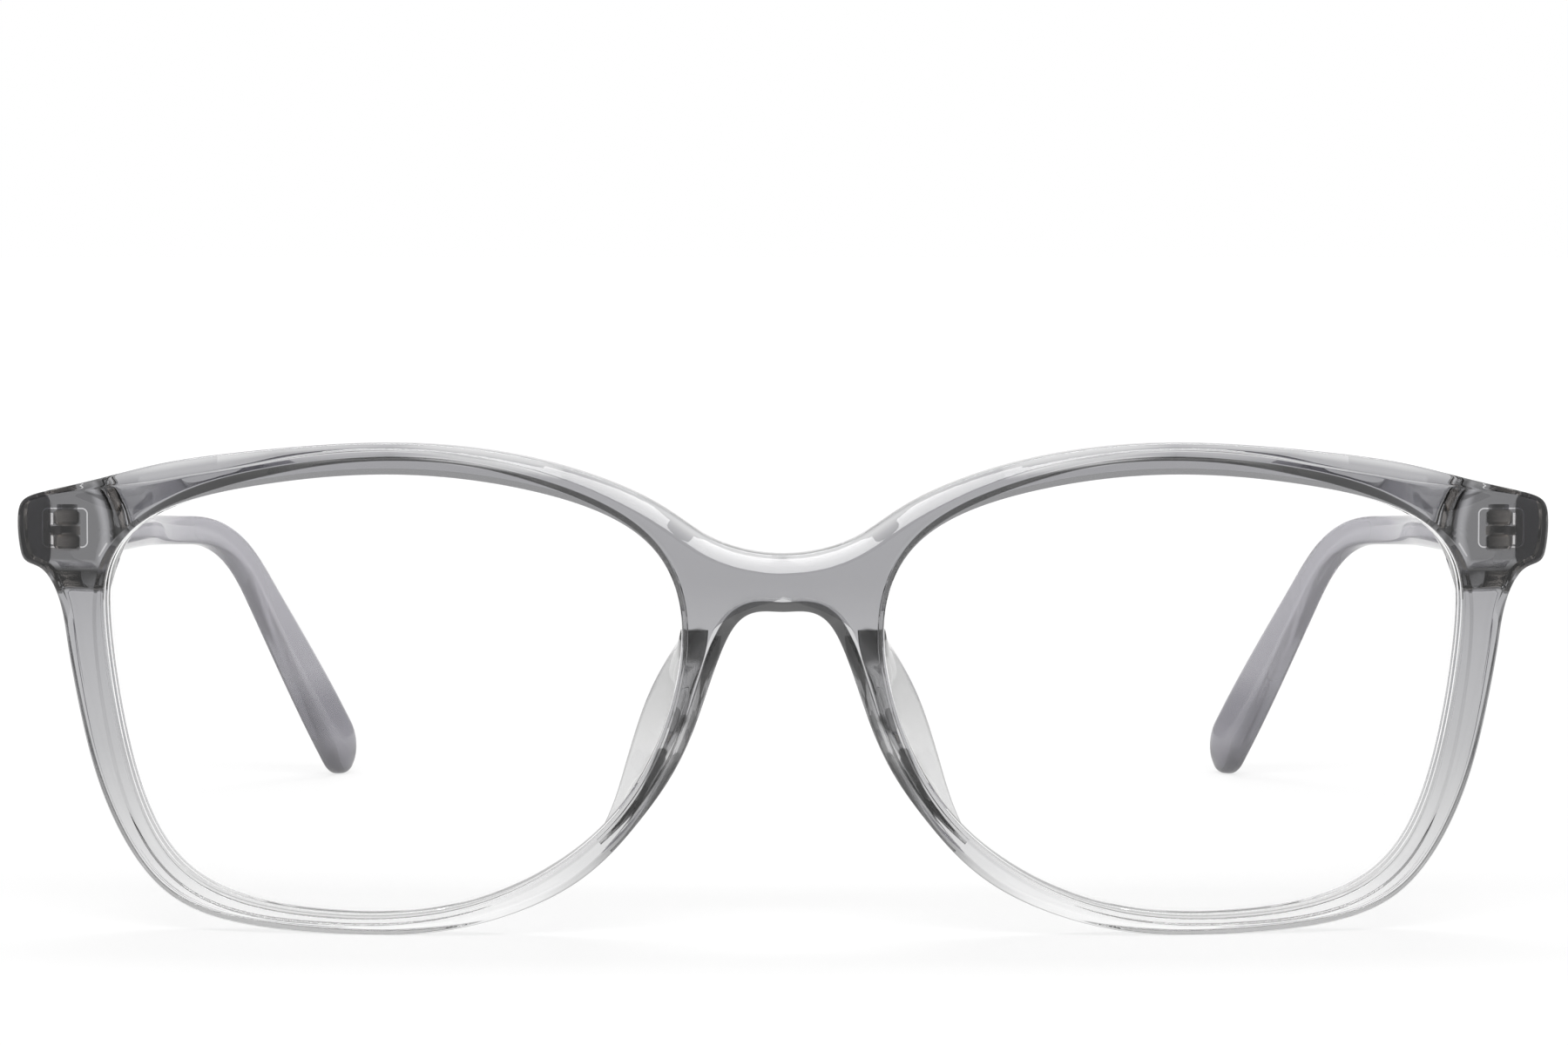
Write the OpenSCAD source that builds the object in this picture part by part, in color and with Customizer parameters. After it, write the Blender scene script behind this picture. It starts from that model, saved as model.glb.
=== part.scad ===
// Oval eyeglasses: a moulded front, two clear lenses, glued nose pads, and two temples
// that fold on barrel hinges. X runs across the face, +Y back to the ears, +Z up. The
// glasses stand open on the lower rims and the temple tips, which touch Z = 0.

/* [Lenses] */
// Width of one lens
lens_w = 53; // [50:0.5:56]
// Height of one lens
lens_h = 41; // [38:0.5:44]
// Thickness of a lens
lens_t = 1.5; // [1.2:0.1:1.8]
// Length by which a lens's edge stands into the rim
bevel = 0.5; // [0.3:0.05:0.7]
// Gap all round a lens's edge in its groove
lens_gap = 0.06; // [0.03:0.01:0.1]

/* [Bridge] */
// Distance between the two lenses
bridge_w = 17; // [15:0.5:20]
// Height of the bridge at its middle
bridge_h = 5.2; // [4.4:0.1:6.2]
// Drop from the top of the rims to the top of the bridge
bridge_drop = 9.8; // [8.6:0.1:11]

/* [Rims] */
// Width of the rim over a lens
rim_top = 3; // [2.4:0.1:3.6]
// Width of the rim under a lens
rim_bottom = 1.6; // [1.4:0.1:2.2]
// Width of the rim on the temple side
rim_side = 3.2; // [2.6:0.1:3.8]
// Width of the rim on the nose side
rim_nose = 2.4; // [2:0.1:2.9]
// Depth of the rims from front to back
rim_d = 3.6; // [3.2:0.1:4.2]
// Radius of the rims' long edges
edge_r = 0.7; // [0.4:0.05:0.9]
// Radius of the front's curve from side to side
wrap_r = 320; // [260:10:420]
// Radius of the front's curve from top to bottom
rise_r = 240; // [180:10:340]
// Angle by which the top of the front leans forward, in degrees
front_tilt = 4.5; // [3:0.5:6]

/* [End pieces] */
// Reach of an end piece beyond the lens opening
end_reach = 7.8; // [7:0.1:8.8]
// Height of an end piece at its outer side
end_h = 6.6; // [6:0.1:7.4]
// Drop from the top of the rims to an end piece's top corner
end_drop = 5.4; // [4.6:0.1:6.2]
// Width of the deep block behind an end piece, which carries the hinge
block_w = 8; // [7:0.25:9]

/* [Hinges] */
// Distance of the hinge axis behind the middle of the front
hinge_set = 6.6; // [6:0.1:8]
// Radius of the hinge barrels
barrel_r = 1.2; // [1:0.05:1.35]
// Height of each of the two barrels on the front
front_barrel = 1.3; // [1.1:0.1:1.7]
// Height of the barrel on the temple
temple_barrel = 0.8; // [0.7:0.1:1.2]
// Gap between neighbouring barrels
barrel_gap = 0.05; // [0.03:0.01:0.08]
// Radius of the screw's shank
screw_r = 0.6; // [0.5:0.05:0.7]
// Gap between the screw's shank and the barrels
screw_gap = 0.03; // [0.02:0.01:0.05]
// Height of the screw's head
screw_head = 0.6; // [0.4:0.1:0.9]
// Thickness of the hinge plate in the temple
plate_t = 0.8; // [0.6:0.1:1]
// Length of the hinge plate in the temple
temple_plate = 9; // [7:0.5:12]
// Depth by which the front's hinge blocks stand into the end piece
anchor = 1.6; // [1.2:0.1:2]

/* [Temples] */
// Length of a temple from its hinge axis to its tip
temple_l = 140; // [132:1:146]
// Height of a temple at the hinge
temple_h = 6.3; // [5.7:0.1:6.9]
// Height of a temple where it starts to bend
bend_h = 3.1; // [2.7:0.1:3.8]
// Thickness of a temple
temple_t = 2.4; // [2.2:0.1:3]
// Width of a temple's tip
tip_w = 7.2; // [6.2:0.2:8]
// Length from the hinge axis to the start of the drop behind the ear
drop_start = 95; // [88:1:100]
// Length over which the drop bends
drop_l = 18; // [14:1:24]
// Angle of the drop, in degrees
drop_angle = 47; // [40:1:54]
// Angle by which a temple's tip turns in towards the head, in degrees
turn_in = 27.5; // [20:0.5:32]
// Length over which a temple turns in, which starts before the drop
turn_l = 30; // [24:1:38]
// Gap between a temple's end and the front when it is open
butt_gap = 0.2; // [0.15:0.05:0.4]

/* [Nose pads] */
// Depth of a nose pad behind the rim
pad_d = 5.8; // [4.4:0.2:7]
// Distance by which a nose pad's edge spreads from its foot
pad_spread = 3; // [2:0.2:3.6]
// Thickness of a nose pad at its foot
pad_foot_t = 1.9; // [1.6:0.1:2.2]
// Thickness of a nose pad at its edge
pad_t = 1.3; // [1:0.1:1.6]
// Thickness of the glue under a nose pad
glue = 0.05; // [0.03:0.01:0.1]

/* [Hidden] */
// The lens opening in its rim, and the middle of a lens
open_a = lens_w / 2 - bevel;
open_b = lens_h / 2 - bevel;
lens_x = (bridge_w + lens_w) / 2;
lens_z = rim_bottom + open_b;
rim_z = lens_z + open_b + rim_top;
half_d = rim_d / 2;

// The lens's outline, anticlockwise from the temple side, in shares of the opening's half
// width and half height
lens_shape = [
    [0.993, 0.23], [0.97, 0.603], [0.783, 0.829], [0.4, 0.958], [-0.04, 1.004], [-0.485, 0.94],
    [-0.853, 0.748], [-1, 0.37], [-0.932, -0.14], [-0.702, -0.608], [-0.28, -0.932],
    [0.22, -1.004], [0.665, -0.876], [0.899, -0.44]
];

// Closed smooth curve through points: the corner points are found by repeated correction
function wrapped(p, i) = p[(i + len(p)) % len(p)];
function corners(p, c, n) = n == 0 ? c : corners(p, [
    for (i = [0:len(p) - 1])
        c[i] + p[i] - (wrapped(c, i - 1) + 4 * c[i] + wrapped(c, i + 1)) / 6
], n - 1);
function curve(c, t) = let (i = floor(t), f = t - i)
    ((1 - f)^3 * wrapped(c, i - 1) + (3 * f^3 - 6 * f^2 + 4) * wrapped(c, i)
    + (-3 * f^3 + 3 * f^2 + 3 * f + 1) * wrapped(c, i + 1) + f^3 * wrapped(c, i + 2)) / 6;
function slope(c, t) = curve(c, t + 0.01) - curve(c, t - 0.01);
function unit(v) = v / norm(v);
function smooth(x) = let (t = min(1, max(0, x))) t * t * (3 - 2 * t);
function mix(a, b, f) = a + (b - a) * f;
smoothing_passes = 30;

// Points of the lens opening, and the direction from it into the rim
open_corners = corners(lens_shape, lens_shape, smoothing_passes);
function opening(t) = let (s = curve(open_corners, t)) [lens_x + open_a * s.x, lens_z + open_b * s.y];
function into_rim(t) = let (d = slope(open_corners, t)) unit([open_b * d.y, -open_a * d.x]);
function beyond(t, w) = opening(t) + w * into_rim(t);

// The front's outline on one side, from the middle of the bridge's underside round the
// lens to the middle of its top. Each row has the place on the lens's outline, then the
// point on the front's outline
end_x = lens_x + open_a + end_reach;
end_z = rim_z - end_drop;
bridge_z = rim_z - bridge_drop;
nose_x = lens_x - open_a;
function on_rim(t, w) = concat([t], beyond(t, w));
function on_end(t, a, b) = [t, end_x - a * end_reach, end_z - b * end_h];
rows = [
    [7.05, 0, bridge_z - bridge_h],
    [7.45, nose_x - 0.268 * bridge_w, bridge_z - 1.288 * bridge_h],
    on_rim(7.95, 1.07 * rim_nose),
    on_rim(8.7, 0.89 * rim_nose),
    on_rim(9.4, 0.97 * rim_nose),
    on_rim(10.2, mix(rim_nose, rim_bottom, 0.8)),
    on_rim(11, 0.97 * rim_bottom),
    on_rim(11.8, mix(rim_bottom, rim_side, 0.33)),
    on_rim(12.4, mix(rim_bottom, rim_side, 0.64)),
    on_rim(13, mix(rim_bottom, rim_side, 0.83)),
    on_rim(13.5, rim_side),
    on_rim(13.95, 1.08 * rim_side),
    on_end(14.25, 0.532, 1.659),
    on_end(14.47, 0.442, 1.288),
    on_end(14.69, 0.282, 1.008),
    on_end(14.86, 0.096, 0.902),
    on_end(14.97, 0.026, 0.697),
    on_end(15.09, 0.005, 0.439),
    on_end(15.2, 0.032, 0.144),
    on_end(15.31, 0.192, -0.005),
    on_end(15.46, 0.5, -0.103),
    on_end(15.7, 0.949, -0.239),
    on_rim(16.1, 1.32 * rim_top),
    on_rim(16.75, 1.06 * rim_top),
    on_rim(17.9, 0.94 * rim_top),
    on_rim(19, 0.94 * rim_top),
    on_rim(19.9, 1.02 * rim_top),
    [20.45, nose_x - 0.156 * bridge_w, bridge_z + 0.269 * bridge_h],
    [20.8, 0, bridge_z]
];
last_row = len(rows) - 1;
outline_corners = let (
    p = concat(
        [for (r = rows) [r[1], r[2]]],
        [for (i = [last_row - 1:-1:1]) [-rows[i][1], rows[i][2]]]
    )
) corners(p, p, smoothing_passes);
function outline(s) = curve(outline_corners, s);
function out_of_rim(s) = let (d = slope(outline_corners, s)) unit([d.y, -d.x]);
function lens_place(s) = let (i = min(floor(s), last_row - 1)) mix(rows[i][0], rows[i + 1][0], s - i);

// From the front's own plane (u across, v up, w back) to the part's frame. The front bows
// back at its sides, top and bottom, and its walls stand square to that curve
function bow(u, v) = u * u / (2 * wrap_r) + (v - lens_z)^2 / (2 * rise_r);
function tilted(u, v, w) = [
    u,
    (bow(u, v) + w) * cos(front_tilt) - v * sin(front_tilt),
    (bow(u, v) + w) * sin(front_tilt) + v * cos(front_tilt)
];
function leaned(u, v, w) = let (k = min(w, half_d))
    tilted(u, v, w) - [k * u / wrap_r, 0, w * (v - lens_z) / rise_r];
lift = -min([for (s = [5:0.25:9]) let (p = outline(s)) leaned(p.x, p.y, edge_r - half_d).z]);
function on_front(u, v, w) = leaned(u, v, w) + [0, 0, lift];

// The hinge axis stands square to the temple, which slopes down to its tip on the table
side_lean = half_d * end_x / wrap_r;
shaft_x = 1.25 * barrel_r;
hinge_x = end_x - side_lean - temple_t - shaft_x;
hinge_v = end_z - 0.6 * end_h;
hinge = [hinge_x, tilted(hinge_x, hinge_v, hinge_set).y, tilted(hinge_x, hinge_v, hinge_set).z + lift];
seat = 1.4 * barrel_r;

// The temple's path, straight and then turned down and in, found by adding small steps
path_step = 1.25;
tip_r = tip_w / 2;
path_l = temple_l - tip_r;
turn_start = 0.8 * drop_start;
function turn(s) = turn_in * smooth((s - turn_start) / turn_l);
function drop(s) = drop_angle * smooth((s - drop_start) / drop_l);
function heading(s) = [-sin(turn(s)) * cos(drop(s)), cos(turn(s)) * cos(drop(s)), -sin(drop(s))];
path_steps = round(path_l / path_step);
function path_s(i) = path_l * i / path_steps;
path = [
    for (i = 0, p = [shaft_x + temple_t / 2, 0, 0]; i <= path_steps;
        p = p + path_l / path_steps * heading(path_s(i + 0.5)), i = i + 1) p
];
tip = path[path_steps];
temple_slope = asin((hinge.z - tip_r) / norm([tip.y, tip.z])) - atan2(-tip.z, tip.y);

// The plane behind an end piece that the temple's end meets, as a depth in the front's plane
seat_y = hinge.y * cos(temple_slope) - (hinge.z - lift) * sin(temple_slope) - seat;
function seat_w(u, v) = let (a = front_tilt + temple_slope)
    (seat_y + v * sin(a)) / cos(a) - bow(u, v);
block_edge = 0.275 * block_w;
function block(u, v) = smooth((u - end_x + block_w + block_edge) / block_edge)
    * smooth((v - end_z + 1.333 * end_h) / (0.273 * end_h));
function back_w(u, v) = mix(half_d, seat_w(u, v), block(u, v));

// Triangles between two neighbouring rings of n points, open or closed
function band(a, b, n, closed) = [
    for (k = [0:n - (closed ? 1 : 2)]) let (m = (k + 1) % n)
        each [[a + k, b + k, a + m], [a + m, b + k, b + m]]
];
function fan(centre, a, n) = [for (k = [0:n - 1]) [centre, a + k, a + (k + 1) % n]];
function turned_over(faces) = [for (f = faces) [f[2], f[1], f[0]]];

// One section of the rim round the lens, from the middle of its back face through the
// groove to the front and round the outside. The places k_front and k_back end the outer
// edge, which is missing where the two sides of the bridge meet
groove_a = bevel + lens_gap;
groove_w = lens_t / 2 + lens_gap;
round_in = 0.3 * edge_r;
k_front = 12;
k_back = 17;
function rim_back(p, d) = on_front(p.x, p.y, back_w(p.x, p.y) - d);
function rim_front(p, d) = on_front(p.x, p.y, d - half_d);
function inner_points(t, mid) = let (
    i = opening(t),
    n = into_rim(t),
    g = i + groove_a * n
) [
    rim_back(mid, 0), rim_back(i + edge_r * n, 0), rim_back(i + round_in * n, round_in),
    rim_back(i, edge_r), on_front(i.x, i.y, groove_w), on_front(g.x, g.y, 0.3 * groove_w),
    on_front(g.x, g.y, -0.3 * groove_w), on_front(i.x, i.y, -groove_w), rim_front(i, edge_r),
    rim_front(i + round_in * n, round_in), rim_front(i + edge_r * n, 0), rim_front(mid, 0)
];
function rim_section(s) = let (
    t = lens_place(s),
    o = outline(s),
    m = out_of_rim(s),
    mid = (opening(t) + edge_r * into_rim(t) + o - edge_r * m) / 2
) concat(inner_points(t, mid), [
    rim_front(o - edge_r * m, 0), rim_front(o - round_in * m, round_in), rim_front(o, edge_r),
    rim_back(o, edge_r), rim_back(o - round_in * m, round_in), rim_back(o - edge_r * m, 0)
]);
function bridge_section(f) = let (
    t = mix(rows[last_row][0], rows[0][0] + len(lens_shape), f),
    o = [0, mix(bridge_z - edge_r, bridge_z - bridge_h + edge_r, f)],
    mid = (opening(t) + edge_r * into_rim(t) + o) / 2
) concat(inner_points(t, mid), [rim_front(o, 0), rim_back(o, 0)]);

steps_a_row = 4;
bridge_steps = 3;
rim_s = [for (i = [0:last_row * steps_a_row]) i / steps_a_row];
bridge_f = [for (i = [1:bridge_steps]) i / (bridge_steps + 1)];
side_points = concat(
    [for (s = rim_s) each rim_section(s)],
    [for (f = bridge_f) each bridge_section(f)]
);
rim_n = k_back + 1;
joint_n = k_front + 2;
last_ring = last_row * steps_a_row * rim_n;
bridge_0 = len(rim_s) * rim_n;
function joint_band(a, b, back_a, back_b) = concat(
    band(a, b, joint_n - 1, false),
    [[back_a, back_b, a], [a, back_b, b]]
);
side_faces = concat(
    [for (j = [0:len(rim_s) - 2]) each band(j * rim_n, (j + 1) * rim_n, rim_n, true)],
    joint_band(last_ring, bridge_0, last_ring + k_back, bridge_0 + joint_n - 1),
    [for (j = [0:bridge_steps - 2]) let (a = bridge_0 + j * joint_n, b = a + joint_n)
        each joint_band(a, b, b - 1, b + joint_n - 1)],
    let (a = bridge_0 + (bridge_steps - 1) * joint_n) joint_band(a, 0, a + joint_n - 1, k_back)
);
// The other side shares the points in the middle of the bridge
middle = 0.001;
function other(i) = abs(side_points[i].x) < middle ? i : i + len(side_points);

module front_frame() {
    points = concat(side_points, [for (p = side_points) [-p.x, p.y, p.z]]);
    faces = concat(side_faces, [
        for (f = turned_over(side_faces)) [other(f[0]), other(f[1]), other(f[2])]
    ]);
    centred() color([0.62, 0.62, 0.64, 0.7]) polyhedron(points, faces, convexity = 10);
}

// A lens: back surface, bevelled edge and front surface, as rings round its middle
lens_places = concat(
    [for (s = rim_s) lens_place(s)],
    [for (f = bridge_f) mix(rows[last_row][0], rows[0][0] + len(lens_shape), f)]
);
function lens_ring(share, out, w) = [
    for (t = lens_places) let (p = mix([lens_x, lens_z], beyond(t, out), share)) on_front(p.x, p.y, w)
];
module lens() {
    n = len(lens_places);
    h = lens_t / 2;
    rings = [
        [0.35, 0, h], [0.7, 0, h], [1, -lens_gap, h], [1, bevel, 0.3 * h],
        [1, bevel, -0.3 * h], [1, -lens_gap, -h], [0.7, 0, -h], [0.35, 0, -h]
    ];
    m = len(rings);
    points = concat(
        [for (r = rings) each lens_ring(r[0], r[1], r[2])],
        [on_front(lens_x, lens_z, h), on_front(lens_x, lens_z, -h)]
    );
    faces = concat(
        fan(m * n, 0, n),
        [for (j = [0:m - 2]) each band(j * n, (j + 1) * n, n, true)],
        turned_over(fan(m * n + 1, (m - 1) * n, n))
    );
    centred() color([0.9, 0.93, 0.95, 0.3]) polyhedron(points, faces, convexity = 4);
}

// A nose pad: a rounded fin glued behind the rim's nose side. Its section runs from its
// foot out along one face, round its edge and back along the other
pad_from = 7.12;
pad_to = 9.05;
pad_sections = 16;
pad_foot = 0.46 * rim_nose;
pad_section = [
    [0, -0.5], [0.5, -0.46], [0.85, -0.36], [1, -0.14], [1, 0.14], [0.85, 0.36], [0.5, 0.46], [0, 0.5]
];
function pad_ring(f) = let (
    t = mix(pad_from, pad_to, f),
    h = mix(0.15, 1, sin(180 * f^0.85)),
    foot = beyond(t, pad_foot),
    n = into_rim(t),
    along = unit([-pad_spread, pad_d])
) [
    for (p = pad_section) let (
        out = h * p.x * norm([pad_spread, pad_d]),
        side = p.y * mix(pad_foot_t, pad_t, p.x) * mix(0.7, 1, sin(180 * f)),
        d = out * along.x + side * mix(1, along.y, p.x),
        w = out * along.y - side * along.x * p.x
    ) on_front(foot.x + d * n.x, foot.y + d * n.y, half_d + glue + w)
];
module nose_pad() {
    n = len(pad_section);
    m = pad_sections;
    points = [for (j = [0:m]) each pad_ring(j / m)];
    faces = concat(
        [[for (k = [n - 1:-1:0]) k]],
        [for (j = [0:m - 1]) each turned_over(band(j * n, (j + 1) * n, n, true))],
        [[for (k = [0:n - 1]) m * n + k]]
    );
    centred() color([0.88, 0.88, 0.9, 0.6]) polyhedron(points, faces, convexity = 4);
}

module at_hinge() {
    centred() translate(hinge) rotate([-temple_slope, 0, 0]) children();
}
module barrel(z, h) {
    translate([0, 0, z]) cylinder(r = barrel_r, h = h, $fn = 48);
}
module screw_hole() {
    reach = front_barrel + temple_barrel + barrel_gap;
    translate([0, 0, -reach]) cylinder(r = screw_r + screw_gap, h = 2 * reach, $fn = 48);
}

// The front's half of a hinge: two barrels on blocks that stand into the end piece, where
// a web joins them
front_z = temple_barrel / 2 + barrel_gap;
front_top = front_z + front_barrel;
module front_leaf() {
    web = anchor / 2;
    at_hinge() color("silver") difference() {
        union() {
            translate([-barrel_r, -seat - web, -front_top]) cube([2 * barrel_r, web, 2 * front_top]);
            for (z = [-front_top, front_z]) {
                barrel(z, front_barrel);
                translate([-barrel_r, -seat - anchor, z]) cube([2 * barrel_r, seat + anchor, front_barrel]);
            }
        }
        screw_hole();
    }
}

// The temple's half of a hinge: a plate let into the inside of the temple, and one barrel
leaf_start = 1.15 * barrel_r;
module temple_leaf() {
    at_hinge() color("silver") difference() {
        union() {
            translate([shaft_x, leaf_start, -front_top])
                cube([plate_t, temple_plate - leaf_start, 2 * front_top]);
            translate([0, 0, -temple_barrel / 2])
                cube([shaft_x + plate_t, leaf_start + plate_t, temple_barrel]);
            barrel(-temple_barrel / 2, temple_barrel);
        }
        screw_hole();
    }
}

// The screw that is each hinge's pin: its head rests on the upper barrel
head_r = 0.8 * barrel_r;
slot_w = 0.5 * screw_r;
module hinge_screw() {
    at_hinge() color("gray") difference() {
        union() {
            translate([0, 0, -front_top]) cylinder(r = screw_r, h = 2 * front_top, $fn = 48);
            translate([0, 0, front_top]) cylinder(r = head_r, h = screw_head, $fn = 48);
        }
        translate([-barrel_r, -slot_w / 2, front_top + screw_head / 2])
            cube([2 * barrel_r, slot_w, screw_head]);
    }
}

// A temple: a rounded section swept along its path, thinning towards the bend and
// widening into a paddle tip with a round end
section_n = 16;
cap_steps = 5;
cap_s = [for (i = [1:cap_steps]) path_l + tip_r * sin(90 * i / cap_steps)];
shaft_rings = [for (i = [0:6:round(0.97 * turn_start / path_step)]) i];
ring_steps = concat(shaft_rings, [for (i = [max(shaft_rings) + 2:2:path_steps - 2]) i], [path_steps]);
function height_at(s) = s < drop_start
    ? mix(temple_h, bend_h, smooth(s / drop_start))
    : mix(bend_h, tip_w, smooth((s - drop_start - 0.222 * drop_l) / (path_l - drop_start - drop_l / 3)));
// The section is nearly square at the hinge and oval from a third of the length on
function squareness(s) = mix(0.3, 0.62, smooth(3 * s / temple_l));
function cap_share(s) = s <= path_l ? 1 : sqrt(max(0.0004, 1 - ((s - path_l) / tip_r)^2));
function signed_power(x, e) = sign(x) * abs(x)^e;
function temple_ring(s) = let (
    i = min(path_steps, round(s / path_l * path_steps)),
    along = heading(min(s, path_l)),
    p = path[i] + max(0, s - path_l) * along,
    twist = 0.6 * turn(min(s, path_l)),
    flat = [cos(twist), sin(twist), 0],
    side = unit(flat - (flat * along) * along),
    up = cross(side, along),
    square = squareness(s),
    a = temple_t / 2 * cap_share(s)^0.5,
    b = height_at(min(s, path_l)) / 2 * cap_share(s)
) [
    for (k = [0:section_n - 1]) let (q = 360 * k / section_n)
        p + a * signed_power(sin(q), square) * side + b * signed_power(cos(q), square) * up
];
temple_rings = concat(
    [[for (p = temple_ring(0)) p - [0, seat - butt_gap, 0]]],
    [for (i = ring_steps) if (i > 0) temple_ring(path_s(i))],
    [for (s = cap_s) temple_ring(s)]
);
// The open glasses are centred over the origin from front to back
front_y = min([for (p = side_points) p.y]);
back_y = hinge.y + max([
    for (r = temple_rings) for (p = r) p.y * cos(temple_slope) + p.z * sin(temple_slope)
]);
module centred() {
    translate([0, -(front_y + back_y) / 2, 0]) children();
}

module temple() {
    n = section_n;
    m = len(temple_rings);
    faces = concat(
        [[for (k = [0:n - 1]) k]],
        [for (j = [0:m - 2]) each band(j * n, (j + 1) * n, n, true)],
        [[for (k = [n - 1:-1:0]) (m - 1) * n + k]]
    );
    points = [for (r = temple_rings) each r];
    at_hinge() color([0.66, 0.66, 0.7, 0.8]) polyhedron(points, faces, convexity = 6);
}

module other_side() {
    mirror([1, 0, 0]) children();
}

front_frame();
lens();  // lens_left
other_side() lens();  // lens_right
nose_pad();  // nose_pad_left
other_side() nose_pad();  // nose_pad_right
front_leaf();  // front_leaf_left
other_side() front_leaf();  // front_leaf_right
temple_leaf();  // temple_leaf_left
other_side() temple_leaf();  // temple_leaf_right
hinge_screw();  // hinge_screw_left
other_side() hinge_screw();  // hinge_screw_right
temple();  // temple_left
other_side() temple();  // temple_right
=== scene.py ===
import math
import bpy
import bmesh
import numpy as np
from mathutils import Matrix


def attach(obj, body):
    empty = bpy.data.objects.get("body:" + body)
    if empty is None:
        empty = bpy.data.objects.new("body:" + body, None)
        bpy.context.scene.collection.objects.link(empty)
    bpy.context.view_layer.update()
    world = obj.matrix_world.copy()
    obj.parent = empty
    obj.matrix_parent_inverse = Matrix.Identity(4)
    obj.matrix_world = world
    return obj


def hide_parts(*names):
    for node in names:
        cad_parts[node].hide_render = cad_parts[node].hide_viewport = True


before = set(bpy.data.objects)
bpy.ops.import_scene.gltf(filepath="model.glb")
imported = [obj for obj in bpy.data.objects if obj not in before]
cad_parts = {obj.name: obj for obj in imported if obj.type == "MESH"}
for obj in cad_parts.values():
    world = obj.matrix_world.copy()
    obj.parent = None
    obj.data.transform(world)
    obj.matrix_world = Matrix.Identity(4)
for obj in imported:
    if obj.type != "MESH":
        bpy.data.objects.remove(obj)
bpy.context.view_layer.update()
print("frame loaded")

# Sizes are in millimetres, as in the part's source, and become metres when a mesh is made.
# X runs across the face, +Y back to the ears, +Z up
mm = 0.001


# helpers: curves and blends
def blend(a, b, f):
    return a + (b - a) * f


def smoothStep(x):
    # 0 below 0, 1 above 1, a cubic ease between
    x = np.clip(x, 0, 1)
    return x * x * (3 - 2 * x)


def unitRows(v):
    return v / np.linalg.norm(v, axis=-1, keepdims=True)


def squared(wave, power):
    # a sine or cosine with its size raised to a power: below 1, it squares an oval
    return np.sign(wave) * np.abs(wave) ** power


def curveCorners(points, passes=30):
    # corner points of a closed cubic B-spline through the points, by repeated correction
    corners = points.copy()
    for step in range(passes):
        around = np.roll(corners, 1, 0) + 4 * corners + np.roll(corners, -1, 0)
        corners = corners + points - around / 6
    return corners


def onCurve(corners, t):
    # the closed cubic B-spline at places t, where a whole number is one of its points
    t = np.asarray(t, float)
    i = np.floor(t).astype(int)
    f = (t - i)[..., None]
    n = len(corners)
    return (
        (1 - f) ** 3 * corners[(i - 1) % n]
        + (3 * f ** 3 - 6 * f ** 2 + 4) * corners[i % n]
        + (-3 * f ** 3 + 3 * f ** 2 + 3 * f + 1) * corners[(i + 1) % n]
        + f ** 3 * corners[(i + 2) % n]
    ) / 6


def outward(corners, t, scale=(1, 1), near=0.01):
    # unit normal to the right of an anticlockwise curve, from a point near t on either side
    t = np.asarray(t)
    d = (onCurve(corners, t + near) - onCurve(corners, t - near)) * scale
    return unitRows(np.stack([d[..., 1], -d[..., 0]], -1))


# the front's own plane: u across, v up, w back
front = {
    "lensWidth": 53.0, "lensHeight": 41.0, "lensThickness": 1.5, "lensBevel": 0.5, "lensGap": 0.06,
    "edgeFlat": 0.3,
    "bridgeWidth": 17.0, "bridgeHeight": 5.2, "bridgeDrop": 9.8,
    "rimTop": 3.0, "rimBottom": 1.6, "rimSide": 3.2, "rimNose": 2.4, "rimDepth": 3.6,
    "wrapRadius": 320.0, "riseRadius": 240.0, "tilt": 4.5,
    "endReach": 7.8, "endHeight": 6.6, "endDrop": 5.4, "blockWidth": 8.0,
    "blockBulge": 3.6, "blockBend": 0.55, "blockSide": 0.275, "blockDrop": 1.333, "blockFoot": 0.273,
    "place": (0.0, -65.5968, 0.0225),
    "arcSteps": 4,
}
# how finely each row of the outline is cut, finest where the end piece's block rises
rowSteps = [20] * 12 + [16] * 2 + [7] * 6 + [14, 40] + [16] * 6

hinge = {
    "x": 64.513, "y": -54.9127, "z": 36.2123, "slope": 4.03651, "seat": 1.68, "barrelRadius": 1.2,
}

openA = front["lensWidth"] / 2 - front["lensBevel"]
openB = front["lensHeight"] / 2 - front["lensBevel"]
lensX = (front["bridgeWidth"] + front["lensWidth"]) / 2
lensZ = front["rimBottom"] + openB
rimZ = lensZ + openB + front["rimTop"]
halfDepth = front["rimDepth"] / 2
endX = lensX + openA + front["endReach"]
endZ = rimZ - front["endDrop"]
bridgeZ = rimZ - front["bridgeDrop"]
noseX = lensX - openA

# The lens's outline from the temple side over the top, in shares of half its width and height
lensShape = curveCorners(np.array([
    (0.993, 0.23), (0.97, 0.603), (0.783, 0.829), (0.4, 0.958), (-0.04, 1.004), (-0.485, 0.94),
    (-0.853, 0.748), (-1, 0.37), (-0.932, -0.14), (-0.702, -0.608), (-0.28, -0.932),
    (0.22, -1.004), (0.665, -0.876), (0.899, -0.44),
]))
lensTurn = len(lensShape)


def opening(t):
    return onCurve(lensShape, t) * (openA, openB) + (lensX, lensZ)


def intoRim(t):
    return outward(lensShape, t, (openA, openB))


def beyond(t, w):
    return opening(t) + np.asarray(w)[..., None] * intoRim(t)


# Rows round the front's outline, from the middle of the bridge's underside to the middle of
# its top: the place on the lens, then a rim width, or a point on the outline
rimTop, rimBottom = front["rimTop"], front["rimBottom"]
rimSide, rimNose = front["rimSide"], front["rimNose"]
bridgeHeight = front["bridgeHeight"]


def onEnd(t, across, down):
    # a row at the end piece, in shares of its reach and height
    return t, (endX - across * front["endReach"], endZ - down * front["endHeight"])


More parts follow.
